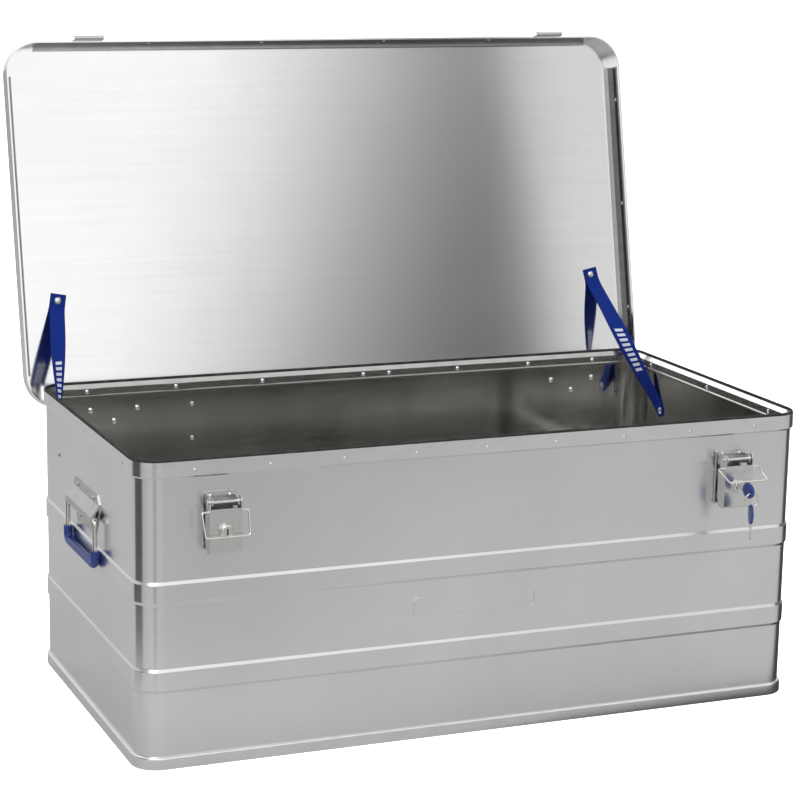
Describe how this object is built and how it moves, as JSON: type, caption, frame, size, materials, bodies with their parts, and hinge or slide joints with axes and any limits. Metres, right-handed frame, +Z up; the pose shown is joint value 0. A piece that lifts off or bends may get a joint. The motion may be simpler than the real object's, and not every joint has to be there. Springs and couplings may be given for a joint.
{
  "type": "aluminium transport box",
  "caption": "Aluminium transport box with an overlapping hinged lid held open by webbing straps, toggle latches with cylinder locks and drop handles at the ends.",
  "frame": {"origin": "middle of the underside of the floor panel, on the surface the box stands on", "axes": "+Z up, -Y towards the front with the latches, +X to the right seen from the front, along the box's length"},
  "size_m": [0.8994, 0.6562, 0.8179],
  "materials": {
    "aluminium_sheet": "satin mill-rolled sheet",
    "aluminium_profile": "satin extruded profile",
    "aluminium_rivet": "bright dome rivet heads",
    "zinc_steel": "bright zinc-plated steel",
    "nickel": "polished nickel-plated steel",
    "seal_rubber": "matt black foam rubber",
    "blue_plastic": "semi-gloss moulded plastic",
    "blue_webbing": "woven synthetic webbing"
  },
  "bodies": {
    "tub": {"wall_shell": "aluminium_sheet", "floor_panel": "aluminium_sheet", "base_frame": "aluminium_profile", "rim_frame": "aluminium_profile", "rim_seal": "seal_rubber", "rim_joint_plates": "aluminium_profile", "rim_outer_rivets": "aluminium_rivet", "rim_inner_rivets": "aluminium_rivet", "seam_strip": "aluminium_sheet", "seam_rivets": "aluminium_rivet", "hinge_tub_leaves": "zinc_steel", "hinge_pins": "zinc_steel", "hinge_tub_rivets": "aluminium_rivet", "latch_base_left": "zinc_steel", "latch_base_right": "zinc_steel", "latch_pin_left": "zinc_steel", "latch_pin_right": "zinc_steel", "latch_base_rivets": "zinc_steel", "handle_plate_left": "zinc_steel", "handle_plate_right": "zinc_steel", "handle_rivets": "zinc_steel", "strap_foot_rivets": "zinc_steel"},
    "lid": {"hinge_lid_leaves": "zinc_steel", "hinge_lid_rivets": "aluminium_rivet", "lid_shell": "aluminium_sheet", "lid_edge_profiles": "aluminium_profile", "lid_profile_rivets": "aluminium_rivet", "lid_outer_rivets": "aluminium_rivet", "lid_catch_left": "zinc_steel", "lid_catch_right": "zinc_steel", "lid_catch_rivets": "zinc_steel", "strap_head_rivets": "zinc_steel", "lid_strap_left": "blue_webbing", "lid_strap_right": "blue_webbing"},
    "lever_left": {"latch_lever_left": "zinc_steel", "lock_housing_left": "nickel"},
    "bail_left": {"latch_bail_left": "nickel"},
    "lock_left": {"lock_plug_left": "nickel", "lock_cam_left": "zinc_steel"},
    "handle_left": {"handle_bar_left": "nickel", "handle_grip_left": "blue_plastic"},
    "lever_right": {"latch_lever_right": "zinc_steel", "lock_housing_right": "nickel"},
    "bail_right": {"latch_bail_right": "nickel"},
    "lock_right": {"lock_plug_right": "nickel", "lock_cam_right": "zinc_steel"},
    "handle_right": {"handle_bar_right": "nickel", "handle_grip_right": "blue_plastic"},
    "key": {"key_bow": "blue_plastic", "key_blade": "nickel"},
    "ring": {"key_ring": "nickel"},
    "spare_key": {"spare_key_bow": "blue_plastic", "spare_key_blade": "nickel"}
  },
  "joints": [
    {"name": "lid_hinge", "type": "hinge", "parent": "tub", "child": "lid", "pos_m": [0, 0.2351, 0.346], "axis": [-1, 0, 0], "range_deg": [-102.2, 0], "deforming": ["lid_strap_left", "lid_strap_right"]},
    {"name": "lever_left_turn", "type": "hinge", "parent": "tub", "child": "lever_left", "pos_m": [-0.337, -0.243, 0.323], "axis": [-1, 0, 0], "range_deg": [0, 120]},
    {"name": "bail_left_turn", "type": "hinge", "parent": "lever_left", "child": "bail_left", "pos_m": [-0.337, -0.247, 0.313], "axis": [1, 0, 0], "range_deg": [-164.67, 0]},
    {"name": "lock_left_turn", "type": "hinge", "parent": "lever_left", "child": "lock_left", "pos_m": [-0.337, -0.25, 0.29], "axis": [0, 1, 0], "range_deg": [0, 90]},
    {"name": "lever_right_turn", "type": "hinge", "parent": "tub", "child": "lever_right", "pos_m": [0.337, -0.243, 0.323], "axis": [-1, 0, 0], "range_deg": [0, 120]},
    {"name": "bail_right_turn", "type": "hinge", "parent": "lever_right", "child": "bail_right", "pos_m": [0.337, -0.247, 0.313], "axis": [1, 0, 0], "range_deg": [-117.67, 0]},
    {"name": "lock_right_turn", "type": "hinge", "parent": "lever_right", "child": "lock_right", "pos_m": [0.337, -0.25, 0.29], "axis": [0, 1, 0], "range_deg": [0, 90]},
    {"name": "key_pull", "type": "slide", "parent": "lock_right", "child": "key", "axis": [0, -1, 0], "range_m": [0, 0.025]},
    {"name": "ring_swing", "type": "hinge", "parent": "key", "child": "ring", "pos_m": [0.337, -0.283, 0.28875], "axis": [-1, 0, 0], "range_deg": [-20, 60]},
    {"name": "spare_key_swing", "type": "hinge", "parent": "ring", "child": "spare_key", "pos_m": [0.337, -0.283, 0.27075], "axis": [-1, 0, 0], "range_deg": [-20, 60]},
    {"name": "handle_left_lift", "type": "hinge", "parent": "tub", "child": "handle_left", "pos_m": [-0.4429, 0, 0.262], "axis": [0, 1, 0], "range_deg": [0, 90]},
    {"name": "handle_right_lift", "type": "hinge", "parent": "tub", "child": "handle_right", "pos_m": [0.4429, 0, 0.262], "axis": [0, -1, 0], "range_deg": [0, 90]}
  ]
}
